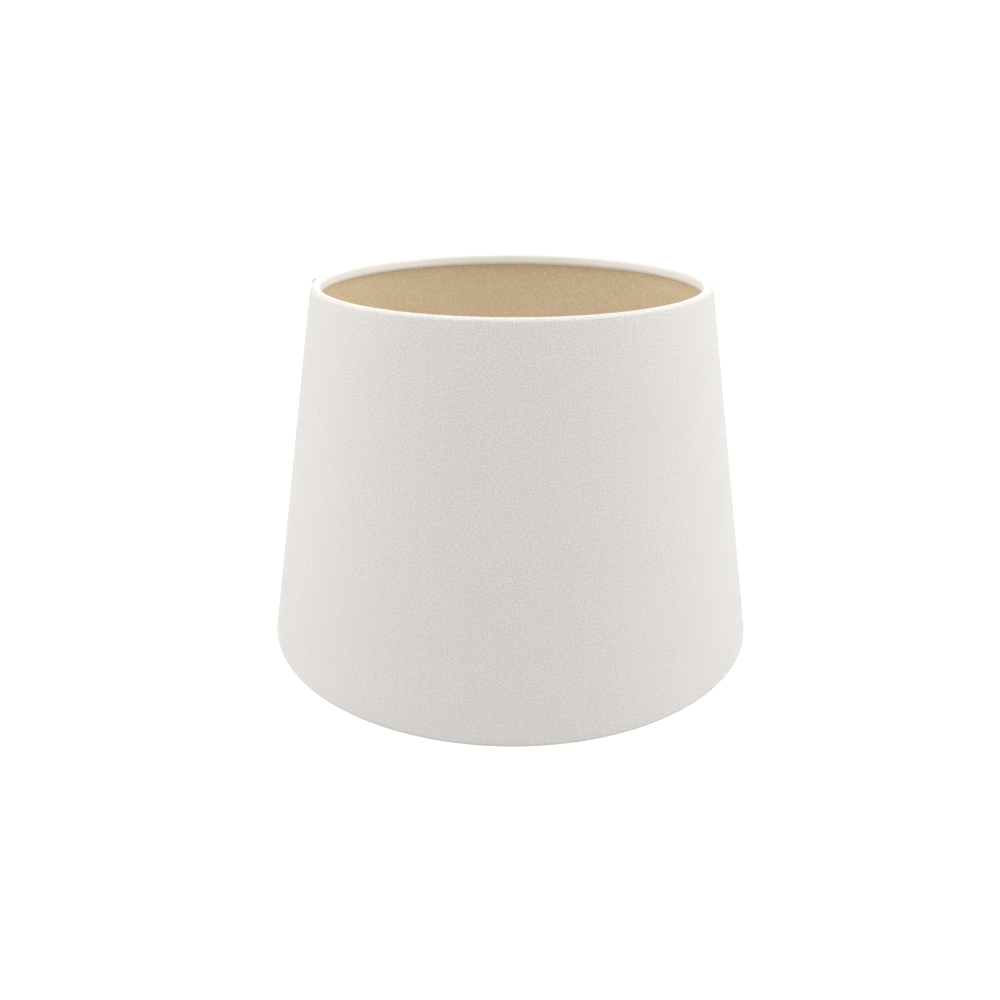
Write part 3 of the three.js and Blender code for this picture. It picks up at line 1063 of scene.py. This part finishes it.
# Each softbox's place, what it is aimed at, its width, its power in watts and its tint.
COOL = (0.95, 0.995, 1)
WARM = (1, 0.985, 0.955)
SOFTBOXES = {
    "left softbox": ((-1.3, 0.25, 0.55), (0, 0, 0.09), 1.4, 12.2, COOL),
    "right softbox": ((1.3, 0.25, 0.55), (0, 0, 0.09), 1.4, 13.8, COOL),
    "front softbox": ((0, -2.1, 2.9), (0, 0, 0.1), 2.4, 29.5, WARM),
    "top softbox": ((0, -0.6, 3.6), (0, 0, 0.1), 2.4, 43, WARM),
}


def make_softbox(name, place, aim, width, power, tint):
    data = bpy.data.lights.new(name, "AREA")
    data.shape = "RECTANGLE"
    data.size = width
    data.size_y = width
    data.energy = power
    data.color = tint
    lamp = bpy.data.objects.new(name, data)
    lamp.location = place
    lamp.rotation_euler = (Vector(aim) - Vector(place)).to_track_quat("-Z", "Y").to_euler()
    bpy.context.scene.collection.objects.link(lamp)


def make_floor(studio):
    corners = [(-1, -1), (1, -1), (1, 1), (-1, 1)]
    corners = [(x * FLOOR_HALF, y * FLOOR_HALF, 0) for x, y in corners]
    floor = link("floor", corners, [[0, 1, 2, 3]])
    floor.location.z = -FLOOR_DROP
    material, t, shader = new_material("White table")
    output = material.node_tree.nodes["Material Output"]
    shader.inputs["Base Color"].default_value = (0.1, 0.1, 0.1, 1)
    shader.inputs["Roughness"].default_value = 1.0
    shader.inputs["Specular IOR Level"].default_value = 0.0
    shader.inputs["Emission Color"].default_value = (1, 1, 1, 1)
    seen = t.add("ShaderNodeLightPath").outputs["Is Camera Ray"]
    glow = t.blend(seen, studio.floor_glow, studio.paper)
    t.put(shader.inputs["Emission Strength"], glow)
    below = t.add("ShaderNodeNewGeometry").outputs["Backfacing"]
    clear = t.add("ShaderNodeBsdfTransparent")
    either = t.add("ShaderNodeMixShader", {0: below, 1: shader, 2: clear})
    t.put(output.inputs["Surface"], either)
    floor.data.materials.append(material)


def make_world(studio):
    world = bpy.data.worlds.new("Studio")
    bpy.context.scene.world = world
    world.use_nodes = True
    world.node_tree.nodes.clear()
    t = Tree(world.node_tree)
    room = t.add("ShaderNodeBackground", {"Color": (1, 1, 1, 1), "Strength": studio.sky})
    paper = t.add("ShaderNodeBackground", {"Color": (1, 1, 1, 1), "Strength": studio.paper})
    seen = t.add("ShaderNodeLightPath").outputs["Is Camera Ray"]
    both = t.add("ShaderNodeMixShader", {0: seen, 1: room, 2: paper})
    t.add("ShaderNodeOutputWorld", {"Surface": both})


def make_camera(studio):
    data = bpy.data.cameras.new("camera")
    data.lens = studio.lens
    data.sensor_width = 36
    data.clip_start = 0.01
    data.clip_end = 100
    camera = bpy.data.objects.new("camera", data)
    camera.location = (0, -studio.distance, studio.height)
    camera.rotation_euler = (math.pi / 2 - studio.pitch, 0, studio.yaw)
    bpy.context.scene.collection.objects.link(camera)
    bpy.context.scene.camera = camera


def make_stage(studio):
    make_floor(studio)
    make_world(studio)
    make_camera(studio)
    for name, setting in SOFTBOXES.items():
        make_softbox(name, *setting)
    bpy.context.scene.view_settings.view_transform = "Standard"


# Operators, panel and the run ----------------------------------------------------------------


class LAMPSHADE_OT_cover(bpy.types.Operator):
    """Make the cloth cover, rolled over both rings"""

    bl_idname = "lampshade.cover"
    bl_label = "Cloth cover"

    def execute(self, context):
        make_cover(context.scene.lampshade_cloth, context.scene.lampshade_metal)
        return {"FINISHED"}


class LAMPSHADE_OT_lining(bpy.types.Operator):
    """Make the metallic lining panel"""

    bl_idname = "lampshade.lining"
    bl_label = "Lining"

    def execute(self, context):
        make_lining(context.scene.lampshade_lining, context.scene.lampshade_cloth)
        return {"FINISHED"}


class LAMPSHADE_OT_wires(bpy.types.Operator):
    """Make the two ring wires and the three fitter arms"""

    bl_idname = "lampshade.wires"
    bl_label = "Rings and arms"

    def execute(self, context):
        make_rings(context.scene.lampshade_metal)
        make_arms(context.scene.lampshade_metal)
        return {"FINISHED"}


class LAMPSHADE_OT_fitter(bpy.types.Operator):
    """Make the pressed fitter ring"""

    bl_idname = "lampshade.fitter"
    bl_label = "Fitter ring"

    def execute(self, context):
        make_fitter(context.scene.lampshade_metal)
        return {"FINISHED"}


class LAMPSHADE_OT_reducer(bpy.types.Operator):
    """Make the loose reducer ring"""

    bl_idname = "lampshade.reducer"
    bl_label = "Reducer ring"

    def execute(self, context):
        make_reducer(context.scene.lampshade_reducer)
        return {"FINISHED"}


class LAMPSHADE_OT_tapes(bpy.types.Operator):
    """Give the frame's tapes their material"""

    bl_idname = "lampshade.tapes"
    bl_label = "Tapes"

    def execute(self, context):
        finish_tapes()
        return {"FINISHED"}


class LAMPSHADE_OT_stage(bpy.types.Operator):
    """Make the floor, the lights and the camera"""

    bl_idname = "lampshade.stage"
    bl_label = "Stage"

    def execute(self, context):
        make_stage(context.scene.lampshade_studio)
        return {"FINISHED"}


OPERATORS = (
    LAMPSHADE_OT_stage,
    LAMPSHADE_OT_cover,
    LAMPSHADE_OT_lining,
    LAMPSHADE_OT_wires,
    LAMPSHADE_OT_fitter,
    LAMPSHADE_OT_reducer,
    LAMPSHADE_OT_tapes,
)


class LAMPSHADE_PT_panel(bpy.types.Panel):
    """Lists the shade's pieces and their sizes and colours"""

    bl_label = "Lamp Shade"
    bl_idname = "LAMPSHADE_PT_panel"
    bl_space_type = "VIEW_3D"
    bl_region_type = "UI"
    bl_category = "Lamp Shade"

    def draw(self, context):
        for operator in OPERATORS:
            self.layout.operator(operator.bl_idname)
        for attribute in GROUPS:
            group = getattr(context.scene, attribute)
            box = self.layout.box()
            for words in group.__annotations__:
                box.prop(group, words)


def register():
    for attribute, group in GROUPS.items():
        bpy.utils.register_class(group)
        setattr(bpy.types.Scene, attribute, PointerProperty(type=group))
    for operator in OPERATORS:
        bpy.utils.register_class(operator)
    bpy.utils.register_class(LAMPSHADE_PT_panel)


def unregister():
    bpy.utils.unregister_class(LAMPSHADE_PT_panel)
    for operator in reversed(OPERATORS):
        bpy.utils.unregister_class(operator)
    for attribute, group in reversed(GROUPS.items()):
        delattr(bpy.types.Scene, attribute)
        bpy.utils.unregister_class(group)


def main():
    register()
    bpy.ops.lampshade.stage()
    bpy.ops.lampshade.cover()
    bpy.ops.lampshade.lining()
    bpy.ops.lampshade.wires()
    bpy.ops.lampshade.fitter()
    bpy.ops.lampshade.reducer()
    bpy.ops.lampshade.tapes()


if __name__ == "__main__":
    main()
